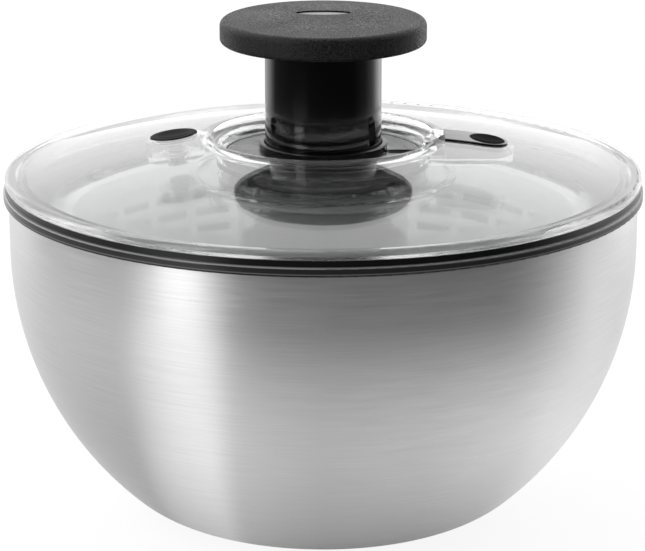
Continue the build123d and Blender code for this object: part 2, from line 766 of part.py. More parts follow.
def drive_cup():
    floor_low = CUP_FLOOR_Z - CUP_FLOOR_T
    cup = lathe([
        (0, floor_low),
        (CUP_R, floor_low, 2.0),
        (CUP_R, HUB_LOW - CUP_FLANGE_T),
        (CUP_FLANGE_R, HUB_LOW - CUP_FLANGE_T, 0.5),
        (CUP_FLANGE_R, HUB_LOW - SEAT_GAP),
        (CUP_IN, HUB_LOW - SEAT_GAP),
        (CUP_IN, CUP_FLOOR_Z),
        (RACE_R + RACE_WALL + SEAT_GAP, CUP_FLOOR_Z),
        (RACE_R + RACE_WALL + SEAT_GAP, CUP_FLOOR_Z - 1),
        (0, CUP_FLOOR_Z - 1),
    ])
    hole = Pos(CUP_SCREW_R, 0, 0) * tube(0, SCREW_R + SCREW_GAP, HUB_LOW - CUP_FLANGE_T - 1, HUB_LOW + 1)
    return cup - around(hole, CUP_SCREWS, 45)


def clutch_race():
    return tube(RACE_R, RACE_R + RACE_WALL, CUP_FLOOR_Z - 1, CAM_TOP - 0.2)


def cup_screws():
    low = HUB_LOW - CUP_FLANGE_T
    return around(Pos(CUP_SCREW_R, 0, low) * screw(CUP_SCREW_L), CUP_SCREWS, 45)


def basket_wall_r(z):
    """Outer radius of the basket's tapered wall."""
    low_z = BASKET_FLOOR_Z + BASKET_HEEL
    top_r = BASKET_R - BASKET_RIM_W
    return BASKET_LOW_R + (top_r - BASKET_LOW_R) * (z - low_z) / (BASKET_TOP - low_z)


def basket():
    floor_low = BASKET_FLOOR_Z - BASKET_WALL
    top_r = BASKET_R - BASKET_RIM_W
    corner_r = basket_wall_r(floor_low)
    inner_r = basket_wall_r(BASKET_FLOOR_Z) - BASKET_WALL
    tip = FOOT_H + PIVOT_H
    body = lathe([
        (0, tip + RUN_GAP),
        (PIVOT_TIP_R + 1.6, tip + RUN_GAP, 0.4),
        (PIVOT_TIP_R + 1.6, tip - 1.2),
        (PIVOT_CUP_R, tip - 1.2, 0.5),
        (PIVOT_CUP_R, floor_low),
        (corner_r, floor_low, BASKET_HEEL),
        (top_r, BASKET_TOP - BASKET_RIM_T),
        (BASKET_R, BASKET_TOP - BASKET_RIM_T, 0.5),
        (BASKET_R, BASKET_TOP, 0.5),
        (top_r - BASKET_WALL, BASKET_TOP, 0.5),
        (inner_r, BASKET_FLOOR_Z, BASKET_HEEL - BASKET_WALL),
        (0, BASKET_FLOOR_Z),
    ])
    cuts = []
    for row in range(BASKET_ROWS):
        z = SLIT_FIRST + (SLIT_LAST - SLIT_FIRST) * row / (BASKET_ROWS - 1)
        r = basket_wall_r(z)
        slit = block(r - 3 * BASKET_WALL, r + 2 * BASKET_WALL, SLIT_W * r / BASKET_R, z - SLIT_H / 2, z + SLIT_H / 2)
        cuts += around(slit, BASKET_COLUMNS)
    floor_slit = block(FLOOR_SLIT_IN, FLOOR_SLIT_OUT, FLOOR_SLIT_W, floor_low - 1, BASKET_FLOOR_Z + 1)
    cuts += around(floor_slit, FLOOR_SLITS)
    body -= cuts
    lug = block(BASKET_R - LUG_DEPTH - 0.5, BASKET_R - 0.5, LUG_W, BASKET_TOP - BASKET_RIM_T / 2, BASKET_TOP + LUG_H)
    return body + around(lug, LUGS)


def dished(plan, low, high, dish, rounding):
    """Button with a hollow top and a rounded edge."""
    body = Pos(0, 0, low) * extrude(plan, high - low)
    body = fillet(body.edges().group_by(Axis.Z)[-1], rounding)
    return body - Pos(0, 0, high + dish - 1.0) * Sphere(dish)


def brake_button():
    return BRAKE * dished(Circle(BUTTON_R), BUTTON_PROUD - BUTTON_T, BUTTON_PROUD, BUTTON_DISH, 0.7)


PAD_LOW = BRAKE_TRAVEL + STOP_GAP - TABLE_DROP
BRAKE_CLIP_TOP = -POCKET_DEPTH - POCKET_FLOOR - STOP_GAP / 2


def brake_stem():
    low = PAD_LOW + PAD_T
    stem = tube(0, BRAKE_STEM_R, low, BUTTON_PROUD - BUTTON_T)
    return BRAKE * (stem - tube(BRAKE_STEM_R - 0.6, BRAKE_STEM_R + 1, BRAKE_CLIP_TOP - BRAKE_CLIP_T, BRAKE_CLIP_TOP))


def brake_clip():
    low = BRAKE_CLIP_TOP - BRAKE_CLIP_T
    clip = tube(BRAKE_STEM_R - 0.6 + SEAT_GAP, BRAKE_CLIP_R, low, BRAKE_CLIP_TOP)
    return BRAKE * (clip - block(0, BRAKE_CLIP_R + 1, 1.4 * BRAKE_STEM_R, low - 1, BRAKE_CLIP_TOP + 1))


def brake_pad():
    return BRAKE * tube(0, PAD_R, PAD_LOW, PAD_LOW + PAD_T)


def brake_spring():
    return BRAKE * coil(BRAKE_SPRING_R, BRAKE_WIRE, -POCKET_DEPTH, BUTTON_PROUD - BUTTON_T, BRAKE_TURNS)


def thumb_plan(gap):
    return Ellipse(THUMB_L / 2 + gap, THUMB_W / 2 + gap)


def lock_slider():
    plan = lock_plan(LOCK_W / 2, LOCK_IN, LOCK_END_X)
    low = CHANNEL_Z + STOP_GAP
    slider = Pos(0, 0, low) * extrude(plan, LIP_Z - low)
    slider &= under_dome(LOCK_SINK, low - 1, LID_R)
    slider -= block(LOCK_IN - 1, LOCK_IN + BOLT_TAIL + SEAT_GAP, BOLT_W + 2 * SEAT_GAP, low - 1, BOLT_Z + BOLT_T)
    thumb_low = THUMB_PROUD - THUMB_T
    return slider - THUMB * (Pos(0, 0, thumb_low) * extrude(thumb_plan(SEAT_GAP), 2 * THUMB_T))


def lock_thumb():
    return THUMB * dished(thumb_plan(0), THUMB_PROUD - THUMB_T, THUMB_PROUD, THUMB_DISH, 0.7)


def lock_bolt():
    return block(BOLT_TIP, LOCK_IN + BOLT_TAIL, BOLT_W, BOLT_Z, BOLT_Z + BOLT_T)


PIECES = {
    "bowl": bowl,
    "foot_ring": foot_ring,
    "basket": basket,
    "lid_cover": lid_cover,
    "rim_gasket": rim_gasket,
    "well_floor": well_floor,
    "guide_tube": guide_tube,
    "support_ring": support_ring,
    "turntable": turntable,
    "drive_cup": drive_cup,
    "clutch_race": clutch_race,
    "cup_screws": cup_screws,
    "twist_spindle": twist_spindle,
    "spring_cap": spring_cap,
    "clutch_cam": clutch_cam,
    "clutch_rollers": clutch_rollers,
    "thrust_washer": thrust_washer,
    "spindle_clip": spindle_clip,
    "knob_cap": knob_cap,
    "knob_badge": knob_badge,
    "knob_core": knob_core,
    "knob_screws": knob_screws,
    "plunger_sleeve": plunger_sleeve,
    "plunger_stem": plunger_stem,
    "drive_nut": drive_nut,
    "return_spring": return_spring,
    "brake_button": brake_button,
    "brake_stem": brake_stem,
    "brake_clip": brake_clip,
    "brake_pad": brake_pad,
    "brake_spring": brake_spring,
    "lock_slider": lock_slider,
    "lock_thumb": lock_thumb,
    "lock_bolt": lock_bolt,
}

for name, make in PIECES.items():
    shape = make()
    if isinstance(shape, list):
        shape = Compound(children=shape)
    shape.label = name
    export_step(shape, f"parts/{name}.step")
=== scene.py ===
"""Salad spinner with a pump knob: its finishes, grown pieces, stage and camera."""

import math

import bpy
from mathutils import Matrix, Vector


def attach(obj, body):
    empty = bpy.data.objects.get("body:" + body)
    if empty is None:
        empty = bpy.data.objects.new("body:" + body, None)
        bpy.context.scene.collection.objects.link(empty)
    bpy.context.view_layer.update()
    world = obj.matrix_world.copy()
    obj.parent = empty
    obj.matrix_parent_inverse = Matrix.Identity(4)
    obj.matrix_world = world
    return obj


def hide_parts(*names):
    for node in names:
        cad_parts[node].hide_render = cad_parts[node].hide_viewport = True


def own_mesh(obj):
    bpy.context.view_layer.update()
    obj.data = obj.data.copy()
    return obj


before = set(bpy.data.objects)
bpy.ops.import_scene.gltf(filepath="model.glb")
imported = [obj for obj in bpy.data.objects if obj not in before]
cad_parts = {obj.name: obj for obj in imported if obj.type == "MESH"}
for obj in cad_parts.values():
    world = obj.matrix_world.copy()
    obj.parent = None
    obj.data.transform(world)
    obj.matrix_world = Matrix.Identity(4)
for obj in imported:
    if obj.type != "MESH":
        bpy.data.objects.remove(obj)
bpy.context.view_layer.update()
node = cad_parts

MM = 0.001


# Node building blocks

def place(tree, kind, **settings):
    """A new node with its settings."""
    made = tree.nodes.new(kind)
    for name, value in settings.items():
        setattr(made, name, value)
    return made


def feed(tree, target, socket, value):
    """Links a node output to a socket, or sets a constant on it."""
    if isinstance(value, bpy.types.NodeSocket):
        tree.links.new(value, target.inputs[socket])
    else:
        target.inputs[socket].default_value = value


def make(tree, kind, *values, **settings):
    """A node with its first inputs fed in order. Gives its first output."""
    made = place(tree, kind, **settings)
    for socket, value in enumerate(values):
        if value is not None:
            feed(tree, made, socket, value)
    return made.outputs[0]


def math_node(tree, operation, a, b=None):
    """One sum, product or other reckoning on numbers."""
    return make(tree, "ShaderNodeMath", a, b, operation=operation)


def vector(tree, x=0.0, y=0.0, z=0.0):
    """A vector from its three parts."""
    return make(tree, "ShaderNodeCombineXYZ", x, y, z)


def axes(tree, where):
    """The three parts of a vector."""
    return make(tree, "ShaderNodeSeparateXYZ", where).node.outputs


def spread(tree, value, low, high, from_low=0.0, from_high=1.0):
    """Maps a value from one range to another, held at both ends."""
    return make(tree, "ShaderNodeMapRange", value, from_low, from_high, low, high)


def mixed(tree, mask, first, second, blend="MIX"):
    """Mixes two colours by a mask."""
    made = place(tree, "ShaderNodeMix", data_type="RGBA", blend_type=blend)
    for socket, value in ((0, mask), (6, first), (7, second)):
        feed(tree, made, socket, value)
    return made.outputs[2]


def grey(value):
    """A neutral colour."""
    return (value, value, value, 1)


def ramp(tree, value, stops):
    """Grey levels along a value from 0 to 1, as (position, level) stops."""
    made = place(tree, "ShaderNodeValToRGB")
    feed(tree, made, 0, value)
    band = made.color_ramp.elements
    while len(band) < len(stops):
        band.new(1.0)
    for stop, (position, level) in zip(band, stops):
        stop.position = position
        stop.color = grey(level)
    return made.outputs[0]


def spot(tree):
    """A point's own place in its piece."""
    return place(tree, "ShaderNodeTexCoord").outputs["Object"]


def axis_reach(tree):
    """Distance from the Z axis."""
    flat = make(tree, "ShaderNodeVectorMath", spot(tree), (1, 1, 0), operation="MULTIPLY")
    return make(tree, "ShaderNodeVectorMath", flat, operation="LENGTH").node.outputs["Value"]


def noise(tree, where, scale, detail):
    """Soft noise in space, from 0 to 1."""
    made = place(tree, "ShaderNodeTexNoise")
    for socket, value in (("Vector", where), ("Scale", scale), ("Detail", detail)):
        feed(tree, made, socket, value)
    return made.outputs["Fac"]


# Marks that several finishes share

def shader_group(name, inputs, outputs):
    """An empty shader group with its named inputs and outputs."""
    tree = bpy.data.node_groups.new(name, "ShaderNodeTree")
    for label, value in inputs.items():
        socket = tree.interface.new_socket(label, in_out="INPUT", socket_type="NodeSocketFloat")
        socket.default_value = value
    for label in outputs:
        tree.interface.new_socket(label, in_out="OUTPUT", socket_type="NodeSocketFloat")
    return tree, place(tree, "NodeGroupInput").outputs, place(tree, "NodeGroupOutput")


def use_group(tree, group, **values):
    """Places a shader group with its values. Gives its outputs."""
    made = place(tree, "ShaderNodeGroup", node_tree=group)
    for label, value in values.items():
        made.inputs[label.replace("_", " ")].default_value = value
    return made.outputs


def ring_brushing():
    """Streaks that run round the Z axis, as a turned and brushed sheet has."""
    tree, given, out = shader_group("ring_brushing", {"Fineness": 3000.0, "Streak length": 6.0},
                                    ["Streaks", "Bands"])
    axis_guard = 0.5 * MM       # keeps the axis itself from a division by zero
    x, y, z = axes(tree, spot(tree))
    radius = axis_reach(tree)
    safe = math_node(tree, "MAXIMUM", radius, axis_guard)
    along = math_node(tree, "ADD", z, radius)
    length = given["Streak length"]
    for label, share, detail in (("Streaks", 1.0, 3.0), ("Bands", 0.12, 2.0)):
        around = [math_node(tree, "MULTIPLY", math_node(tree, "DIVIDE", axis, safe), length)
                  for axis in (x, y)]
        fine = math_node(tree, "MULTIPLY", given["Fineness"], share)
        line = math_node(tree, "MULTIPLY", along, fine)
        feed(tree, out, label, noise(tree, vector(tree, *around, line), 1.0, detail))
    return tree


def moulded_grain():
    """Fine grain of a moulded surface, with wide soft patches from handling."""
    tree, given, out = shader_group("moulded_grain", {"Grain scale": 1500.0, "Patch scale": 40.0},
                                    ["Grain", "Patches"])
    where = spot(tree)
    feed(tree, out, "Grain", noise(tree, where, given["Grain scale"], 2.0))
    feed(tree, out, "Patches", noise(tree, where, given["Patch scale"], 4.0))
    return tree


BRUSHING = ring_brushing()
GRAIN = moulded_grain()
NOISE_SPAN = (0.3, 0.7)         # where most of a noise lies
SPECKLE_SPAN = (0.42, 0.62)     # from the dark of the grain to its dots
TOOTH_SPAN = (0.35, 0.65)


# Finishes

BOWL_MIDDLE = (0, 0, 120 * MM)
DOME_CENTRE = (0, 0, -310.75 * MM)
BEAD_TOP = (144.5 * MM, 146.5 * MM)     # heights
WELL_LIP = (49.5 * MM, 51.5 * MM)       # radii
CLEAR_TINT = (0.99, 0.995, 0.995, 1)
CLEAR_SWING = (0.4, 1.6)                # least and most share of the roughness
# Painted highlight lines along the gasket lip's top and lower edges, by height in metres; the lip between
# is painted faintly lighter
GASKET_PAINTED_HIGHLIGHTS = [(0.136, 0.0), (0.1368, 0.0), (0.137, 0.09), (0.1373, 0.09), (0.1375, 0.012),
                (0.1392, 0.012), (0.13945, 0.25), (0.1397, 0.25), (0.1399, 0.0), (0.142, 0.0)]


def new_material(name):
    """A material that holds one shader."""
    material = bpy.data.materials.new(name)
    material.use_nodes = True
    tree = material.node_tree
    tree.nodes.clear()
    shader = place(tree, "ShaderNodeBsdfPrincipled")
    output = place(tree, "ShaderNodeOutputMaterial")
    tree.links.new(shader.outputs[0], output.inputs["Surface"])
    return material, tree, shader


def facing_in(tree, middle):
    """1 where a surface faces a point on the axis, 0 where it faces away."""
    blend = 2 * MM
    where = place(tree, "ShaderNodeTexCoord").outputs
    inward = make(tree, "ShaderNodeVectorMath", middle, where["Object"], operation="SUBTRACT")
    facing = make(tree, "ShaderNodeVectorMath", where["Normal"], inward, operation="DOT_PRODUCT")
    return spread(tree, facing.node.outputs["Value"], 0.0, 1.0, 0.0, blend)


def brushed_metal(name, low, high, rough, anisotropy, fineness, satin_inside=None):
    """Ring-brushed metal, with a rougher and plainer inside where one is given."""
    swing, satin_rough, quarter_turn = 0.05, 0.3, 0.25
    material, tree, shader = new_material(name)
    marks = use_group(tree, BRUSHING, Fineness=fineness, Streak_length=5.0)
    shader.inputs["Metallic"].default_value = 1.0
    shader.inputs["Anisotropic"].default_value = anisotropy
    shader.inputs["Anisotropic Rotation"].default_value = quarter_turn
    colour = mixed(tree, marks["Streaks"], low, high)
    wide, narrow = [math_node(tree, "MULTIPLY", marks[label], 0.5) for label in ("Bands", "Streaks")]
    texture = spread(tree, math_node(tree, "ADD", wide, narrow), rough - swing, rough + swing, *NOISE_SPAN)
    if satin_inside:
        inside = facing_in(tree, BOWL_MIDDLE)
        colour = mixed(tree, inside, colour, satin_inside)
        texture = math_node(tree, "ADD", texture, math_node(tree, "MULTIPLY", inside, satin_rough))
    feed(tree, shader, "Base Color", colour)
    feed(tree, shader, "Roughness", texture)
    feed(tree, shader, "Tangent", make(tree, "ShaderNodeTangent", direction_type="RADIAL", axis="Z"))
    return material


def moulded(name, low, high, rough, grain=1500.0, depth=0.02 * MM, patch=40.0, swing=0.06, specular=0.5,
            speckle=0.0, tooth=0.0, coat=0.0):
    """Moulded plastic or rubber, patchy in colour and gloss.

    Its grain is pressed in to a depth, speckled in a paler grey, or toothed, which varies the gloss.
    """
    material, tree, shader = new_material(name)
    marks = use_group(tree, GRAIN, Grain_scale=grain, Patch_scale=patch)
    shader.inputs["Specular IOR Level"].default_value = specular
    colour = mixed(tree, marks["Patches"], low, high)
    if speckle:
        dots = spread(tree, marks["Grain"], 0.0, 1.0, *SPECKLE_SPAN)
        colour = mixed(tree, dots, colour, grey(speckle))
    feed(tree, shader, "Base Color", colour)
    texture = spread(tree, marks["Patches"], rough - swing, rough + swing, *NOISE_SPAN)
    if tooth:
        teeth = spread(tree, marks["Grain"], -tooth, tooth, *TOOTH_SPAN)
        texture = math_node(tree, "ADD", texture, teeth)
    feed(tree, shader, "Roughness", texture)
    if coat:
        shader.inputs["Coat Weight"].default_value = coat
        shader.inputs["Coat Roughness"].default_value = 0.08
    if depth:
        bump = place(tree, "ShaderNodeBump")
        bump.inputs["Strength"].default_value = 1.0
        bump.inputs["Distance"].default_value = depth
        feed(tree, bump, "Height", marks["Grain"])
        feed(tree, shader, "Normal", bump.outputs[0])
    return material


def clear(name, rough, bend, shine, satin_bead=0.0, lip_shine=None):
    """Clear moulding. A thin wall bends the view little, and its polished skin mirrors the room."""
    material, tree, shader = new_material(name)
    marks = use_group(tree, GRAIN, Grain_scale=600.0, Patch_scale=25.0)
    for socket, value in (("Base Color", CLEAR_TINT), ("Transmission Weight", 1.0), ("IOR", bend),
                          ("Coat Weight", shine), ("Coat Roughness", 0.02), ("Coat IOR", 1.5)):
        shader.inputs[socket].default_value = value
    if lip_shine is not None:
        feed(tree, shader, "Coat Weight", spread(tree, axis_reach(tree), lip_shine, shine, *WELL_LIP))
    texture = spread(tree, marks["Patches"], *[rough * share for share in CLEAR_SWING], *NOISE_SPAN)
    if satin_bead:
        edge = spread(tree, axes(tree, spot(tree))["Z"], satin_bead, 0.0, *BEAD_TOP)
        texture = math_node(tree, "ADD", texture, edge)
    feed(tree, shader, "Roughness", texture)
    return material


def repaint(material, change):
    """Passes a finish's colour through a change, a function of the tree and the colour so far."""
    tree = material.node_tree
    shader = tree.nodes["Principled BSDF"]
    plain = shader.inputs["Base Color"].links[0].from_socket
    feed(tree, shader, "Base Color", change(tree, plain))


def collared(material, radius, inner):
    """Darkens a finish inside a radius, where the collar is polished."""
    blur = 0.4 * MM

    def collar(tree, plain):
        outside = spread(tree, axis_reach(tree), 0.0, 1.0, radius, radius + blur)
        return mixed(tree, outside, inner, plain)

    repaint(material, collar)


def painted_highlight_rings(material, levels):
    """Adds painted highlight lines to a finish by height, as (height, level) stops."""
    low, high = levels[0][0], levels[-1][0]

    def lines(tree, plain):
        share = spread(tree, axes(tree, spot(tree))["Z"], 0.0, 1.0, low, high)
        stops = [((height - low) / (high - low), level) for height, level in levels]
        return mixed(tree, 1.0, plain, ramp(tree, share, stops), "ADD")

    repaint(material, lines)


def painted_gap_shadow(material, centre, low, high, dark):
    """A painted dark band under the top skin, between two distances from the dome's centre: painted shadow
    of the gap along the slider's edges.
    """
    blur = 0.1 * MM

    def band(tree, plain):
        apart = make(tree, "ShaderNodeVectorMath", spot(tree), centre, operation="DISTANCE")
        reach = apart.node.outputs["Value"]
        over = spread(tree, reach, 0.0, 1.0, low - blur, low)
        under = spread(tree, reach, 1.0, 0.0, high, high + blur)
        return mixed(tree, math_node(tree, "MULTIPLY", over, under), plain, dark)

    repaint(material, band)


STEEL = brushed_metal("brushed_steel", grey(0.52), grey(0.7), rough=0.32, anisotropy=0.8, fineness=2600.0,
                      satin_inside=grey(0.68))
SPRING_WIRE = brushed_metal("spring_wire", grey(0.45), grey(0.55), rough=0.3, anisotropy=0.0,
                            fineness=2000.0)
SCREW_STEEL = brushed_metal("screw_metal", grey(0.55), grey(0.65), rough=0.25, anisotropy=0.0,
                            fineness=2500.0)
BADGE = brushed_metal("badge_brushed", grey(0.3), grey(0.36), rough=0.42, anisotropy=0.3, fineness=2500.0)
SOFT_BLACK = moulded("knob_soft_black", grey(0.006), grey(0.01), rough=0.5, depth=0.16 * MM, specular=0.17,
                     speckle=0.023, tooth=0.22)
GLOSS_BLACK = moulded("gloss_black", grey(0.0008), grey(0.0014), rough=0.07, grain=900.0, depth=0.0,
                      patch=30.0, swing=0.03, specular=0.35)
WELL_BLACK = moulded("well_black", grey(0.09), grey(0.11), rough=0.2, grain=900.0, depth=0.0, patch=30.0,
                     swing=0.04, specular=0.3)
BUTTON_BLACK = moulded("button_black", grey(0.01), grey(0.014), rough=0.3, grain=900.0, depth=0.0,
                       patch=60.0, swing=0.05, specular=0.0, coat=0.12)
THUMB_BLACK = moulded("thumb_black", grey(0.003), grey(0.005), rough=0.3, grain=900.0, depth=0.0,
                      patch=60.0, swing=0.05, specular=0.0, coat=0.07)
SATIN_BLACK = moulded("satin_black", grey(0.02), grey(0.028), rough=0.35, grain=1800.0)
GASKET = moulded("gasket_black", grey(0.001), grey(0.002), rough=0.2, grain=2500.0, depth=0.0, swing=0.03,
                 specular=0.3)
FOOT = moulded("foot_black", grey(0.03), grey(0.045), rough=0.65, depth=0.04 * MM)
PAD = moulded("pad_grey", grey(0.42), grey(0.48), rough=0.7, depth=0.04 * MM)
WHITE_MOULDING = moulded("white_moulding", grey(0.82), grey(0.86), rough=0.4, grain=1200.0)
ACETAL = moulded("acetal_white", grey(0.7), grey(0.74), rough=0.35, grain=1200.0, depth=0.01 * MM)
HUB_GREY = moulded("hub_grey", grey(0.5), grey(0.54), rough=0.35, depth=0.01 * MM)
SLIDER_GREY = moulded("slider_grey", grey(0.34), grey(0.38), rough=0.28, depth=0.01 * MM, specular=0.1)
CLEAR = clear("clear_moulding", rough=0.02, bend=1.18, shine=0.92, satin_bead=0.22, lip_shine=0.25)
CLEAR_TABLE = clear("clear_turntable", rough=0.05, bend=1.16, shine=0.42)
collared(WELL_BLACK, radius=26.8 * MM, inner=grey(0.002))
# Painted highlight lines on the gasket lip's edges
painted_highlight_rings(GASKET, GASKET_PAINTED_HIGHLIGHTS)
# Painted shadow: the slider's sides below its top skin are dark, as the shadow gap beside the slider
painted_gap_shadow(SLIDER_GREY, DOME_CENTRE, low=472.4 * MM, high=473.52 * MM, dark=grey(0.003))

FINISH = {
    "steel": STEEL, "foot_rubber": FOOT, "basket_plastic": WHITE_MOULDING, "clear_plastic": CLEAR,
    "gasket_rubber": GASKET, "black_gloss": GLOSS_BLACK, "screw_steel": SCREW_STEEL,
    "spring_steel": SPRING_WIRE, "hub_plastic": HUB_GREY, "white_acetal": ACETAL,
    "soft_black": SOFT_BLACK, "badge_metal": BADGE, "black_plastic": SATIN_BLACK, "pad_rubber": PAD,
    "grey_plastic": SLIDER_GREY,
}
OWN_FINISH = {
    "turntable": CLEAR_TABLE, "well_floor": WELL_BLACK, "lock_thumb": THUMB_BLACK,
    "lock_bolt": THUMB_BLACK, "brake_button": BUTTON_BLACK,
}
for piece in node.values():
    for slot in piece.material_slots:
        slot.material = FINISH[slot.material.name.split(".")[0]]
for name, finish in OWN_FINISH.items():
    node[name].material_slots[0].material = finish


# Pieces that repeat, wind or turn

WELD = 0.001 * MM


def growth(name, sizes, takes_outline=False):
    """A geometry tree with named size inputs."""
    tree = bpy.data.node_groups.new(name, "GeometryNodeTree")
    if takes_outline:
        tree.interface.new_socket("Outline", in_out="INPUT", socket_type="NodeSocketGeometry")
    for label, value in sizes.items():
        kind = {int: "NodeSocketInt", tuple: "NodeSocketVector"}.get(type(value), "NodeSocketFloat")
        tree.interface.new_socket(label, in_out="INPUT", socket_type=kind).default_value = value
    tree.interface.new_socket("Piece", in_out="OUTPUT", socket_type="NodeSocketGeometry")
    return tree, place(tree, "NodeGroupInput").outputs, place(tree, "NodeGroupOutput")


def turned(tree, angle):
    """A rotation about the Z axis."""
    return make(tree, "FunctionNodeEulerToRotation", vector(tree, z=angle))


def moved(tree, shape, *to):
    """A shape shifted, turned and scaled, as far as these are given."""
    return make(tree, "GeometryNodeTransform", shape, *to)


def join(tree, *shapes):
    """Several shapes as one."""
    made = place(tree, "GeometryNodeJoinGeometry")
    for shape in shapes:
        tree.links.new(shape, made.inputs[0])
    return made.outputs[0]


def cut_away(tree, shape, cutter, **settings):
    """A shape less another."""
    made = place(tree, "GeometryNodeMeshBoolean", operation="DIFFERENCE", solver="EXACT")
    feed(tree, made, "Mesh 1", shape)
    feed(tree, made, "Mesh 2", cutter)
    for label, value in settings.items():
        feed(tree, made, label.replace("_", " "), value)
    return made.outputs[0]


def circle(tree, points, radius):
    """A circle as a curve of straight steps."""
    made = make(tree, "GeometryNodeCurvePrimitiveCircle", points)
    feed(tree, made.node, "Radius", radius)
    return made


def rail_circle(tree, radius, segments):
    """A level circle that keeps a section upright on its way round."""
    return make(tree, "GeometryNodeSetCurveNormal", circle(tree, segments, radius), mode="Z_UP")


def swept(tree, rail, section, caps=False):
    """A section drawn along a rail."""
    made = place(tree, "GeometryNodeCurveToMesh")
    for socket, value in (("Curve", rail), ("Profile Curve", section), ("Fill Caps", caps)):
        feed(tree, made, socket, value)
    return made.outputs[0]


def welded(tree, shape):
    """A shape with its doubled points made one."""
    made = make(tree, "GeometryNodeMergeByDistance", shape)
    feed(tree, made.node, "Distance", WELD)
    return made


def carried_round(tree, shape, count, start):
    """Copies of a shape turned about the Z axis."""
    points = make(tree, "GeometryNodeMeshCircle", count, 0.0)
    step = math_node(tree, "DIVIDE", 2 * math.pi, count)
    passed = math_node(tree, "MULTIPLY", make(tree, "GeometryNodeInputIndex"), step)
    turn = turned(tree, math_node(tree, "ADD", passed, start))
    return make(tree, "GeometryNodeInstanceOnPoints", points, None, shape, None, None, turn)


def close_growth(tree, out, shape, material):
    """Ends a tree with real meshes and their finish."""
    whole = make(tree, "GeometryNodeRealizeInstances", shape)
    feed(tree, out, 0, make(tree, "GeometryNodeSetMaterial", whole, None, material))


def grow(name, tree, body, stands_for, slot, outline=None, sharp=35.0, **sizes):
    """Runs a geometry tree once and keeps the plain mesh, in place of the node that it stands for."""
    mesh = bpy.data.meshes.new(name)
    if outline:
        mesh.from_pydata(*outline)
    piece = bpy.data.objects.new(name, mesh)
    bpy.context.scene.collection.objects.link(piece)
    modifier = piece.modifiers.new("growth", "NODES")
    modifier.node_group = tree
    for item in tree.interface.items_tree:
        label = item.name.replace(" ", "_")
        if item.in_out == "INPUT" and label in sizes:
            modifier[item.identifier] = sizes[label]
    bpy.context.view_layer.update()
    grown = bpy.data.meshes.new_from_object(piece.evaluated_get(bpy.context.evaluated_depsgraph_get()))
    piece.modifiers.clear()
    piece.data = grown
    grown.name = name
    finish = next(m for m in grown.materials if m)
    grown.materials.clear()
    grown.materials.append(finish)
    grown.shade_smooth()
    grown.set_sharp_from_angle(angle=math.radians(sharp))
    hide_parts(stands_for)
    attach(piece, body)
    return piece


def wound_spring():
    """Round wire wound with closed end turns, standing on its own base."""
    points_per_turn, wire_sides = 40, 12
    end_draw = 0.7              # how far the end turns are drawn together
    tree, given, out = growth("wound_spring", {
        "Radius": 9 * MM, "Wire": 1.3 * MM, "Height": 50 * MM, "Turns": 8.0, "Base": (0.0, 0.0, 0.0),
        "Tilt": (0.0, 0.0, 0.0)})
    rise = math_node(tree, "SUBTRACT", given["Height"], given["Wire"])
    line = make(tree, "GeometryNodeCurveSpiral", points_per_turn, given["Turns"], given["Radius"],
                given["Radius"], rise)
    share = make(tree, "GeometryNodeSplineParameter")
    wave = math_node(tree, "SINE", math_node(tree, "MULTIPLY", share, 2 * math.pi))
    draw = math_node(tree, "MULTIPLY", math_node(tree, "MULTIPLY", wave, rise), -end_draw / (2 * math.pi))
    half = math_node(tree, "MULTIPLY", given["Wire"], 0.5)
    lifted = vector(tree, z=math_node(tree, "ADD", draw, half))
    line = make(tree, "GeometryNodeSetPosition", line, None, None, lifted)
    wire = swept(tree, line, circle(tree, wire_sides, half), True)
    tilt = make(tree, "FunctionNodeEulerToRotation", given["Tilt"])
    close_growth(tree, out, moved(tree, wire, given["Base"], tilt), SPRING_WIRE)
    return tree


def screw_ring():
    """Cross-head screws on a circle, heads down, each with a wound thread."""
    head_sides, shank_sides, ridge_sides = 32, 20, 4
    head_end, cross_length, cross_width = 0.86, 1.3, 0.24       # shares of the head's radius
    core_share, ridge_share = 0.84, 0.15                        # shares of the shank's radius
    thread_share, pitch = 0.9, 0.7 * MM
    tree, given, out = growth("screw_ring", {
        "Count": 3, "Circle": 16 * MM, "Start": 0.0, "Level": 0.0, "Head": 2.9 * MM,
        "Head height": 1.9 * MM, "Shank": 1.5 * MM, "Length": 5 * MM})

    def share_of(size, share):
        return math_node(tree, "MULTIPLY", given[size], share)

    depth = given["Head height"]
    low = vector(tree, z=share_of("Head height", -1.0))
    end = share_of("Head", head_end)
    head = make(tree, "GeometryNodeMeshCone", head_sides, 1, 1, given["Head"], end, depth)
    slot = vector(tree, share_of("Head", cross_length), share_of("Head", cross_width), depth)
    bar = make(tree, "GeometryNodeMeshCube", slot)
    cross = join(tree, bar, moved(tree, bar, None, turned(tree, math.pi / 2)))
    head = cut_away(tree, moved(tree, head, low), moved(tree, cross, low), Self_Intersection=True)
    core = share_of("Shank", core_share)
    shank = make(tree, "GeometryNodeMeshCylinder", shank_sides, 1, 1, core, given["Length"])
    shank = moved(tree, shank, vector(tree, z=share_of("Length", 0.5)))
    run = share_of("Length", thread_share)
    turns = math_node(tree, "DIVIDE", run, pitch)
    line = make(tree, "GeometryNodeCurveSpiral", shank_sides, turns, core, core, run)
    thread = swept(tree, line, circle(tree, ridge_sides, share_of("Shank", ridge_share)), True)
    hole = vector(tree, given["Circle"], 0.0, given["Level"])
    screw = moved(tree, join(tree, head, shank, thread), hole)
    close_growth(tree, out, carried_round(tree, screw, given["Count"], given["Start"]), SCREW_STEEL)
    return tree


RAIL = 100 * MM


def outline_mesh(*runs):
    """Points and edges of (outline, closed) runs for a rail circle, from radius and level in mm."""
    points, edges = [], []
    for run, closed in runs:
        first = len(points)
        points += [(r * MM - RAIL, -z * MM, 0) for r, z in run]
        edges += [(first + i, first + i + 1) for i in range(len(run) - 1)]
        if closed:
            edges.append((len(points) - 1, first))
    return points, edges, []


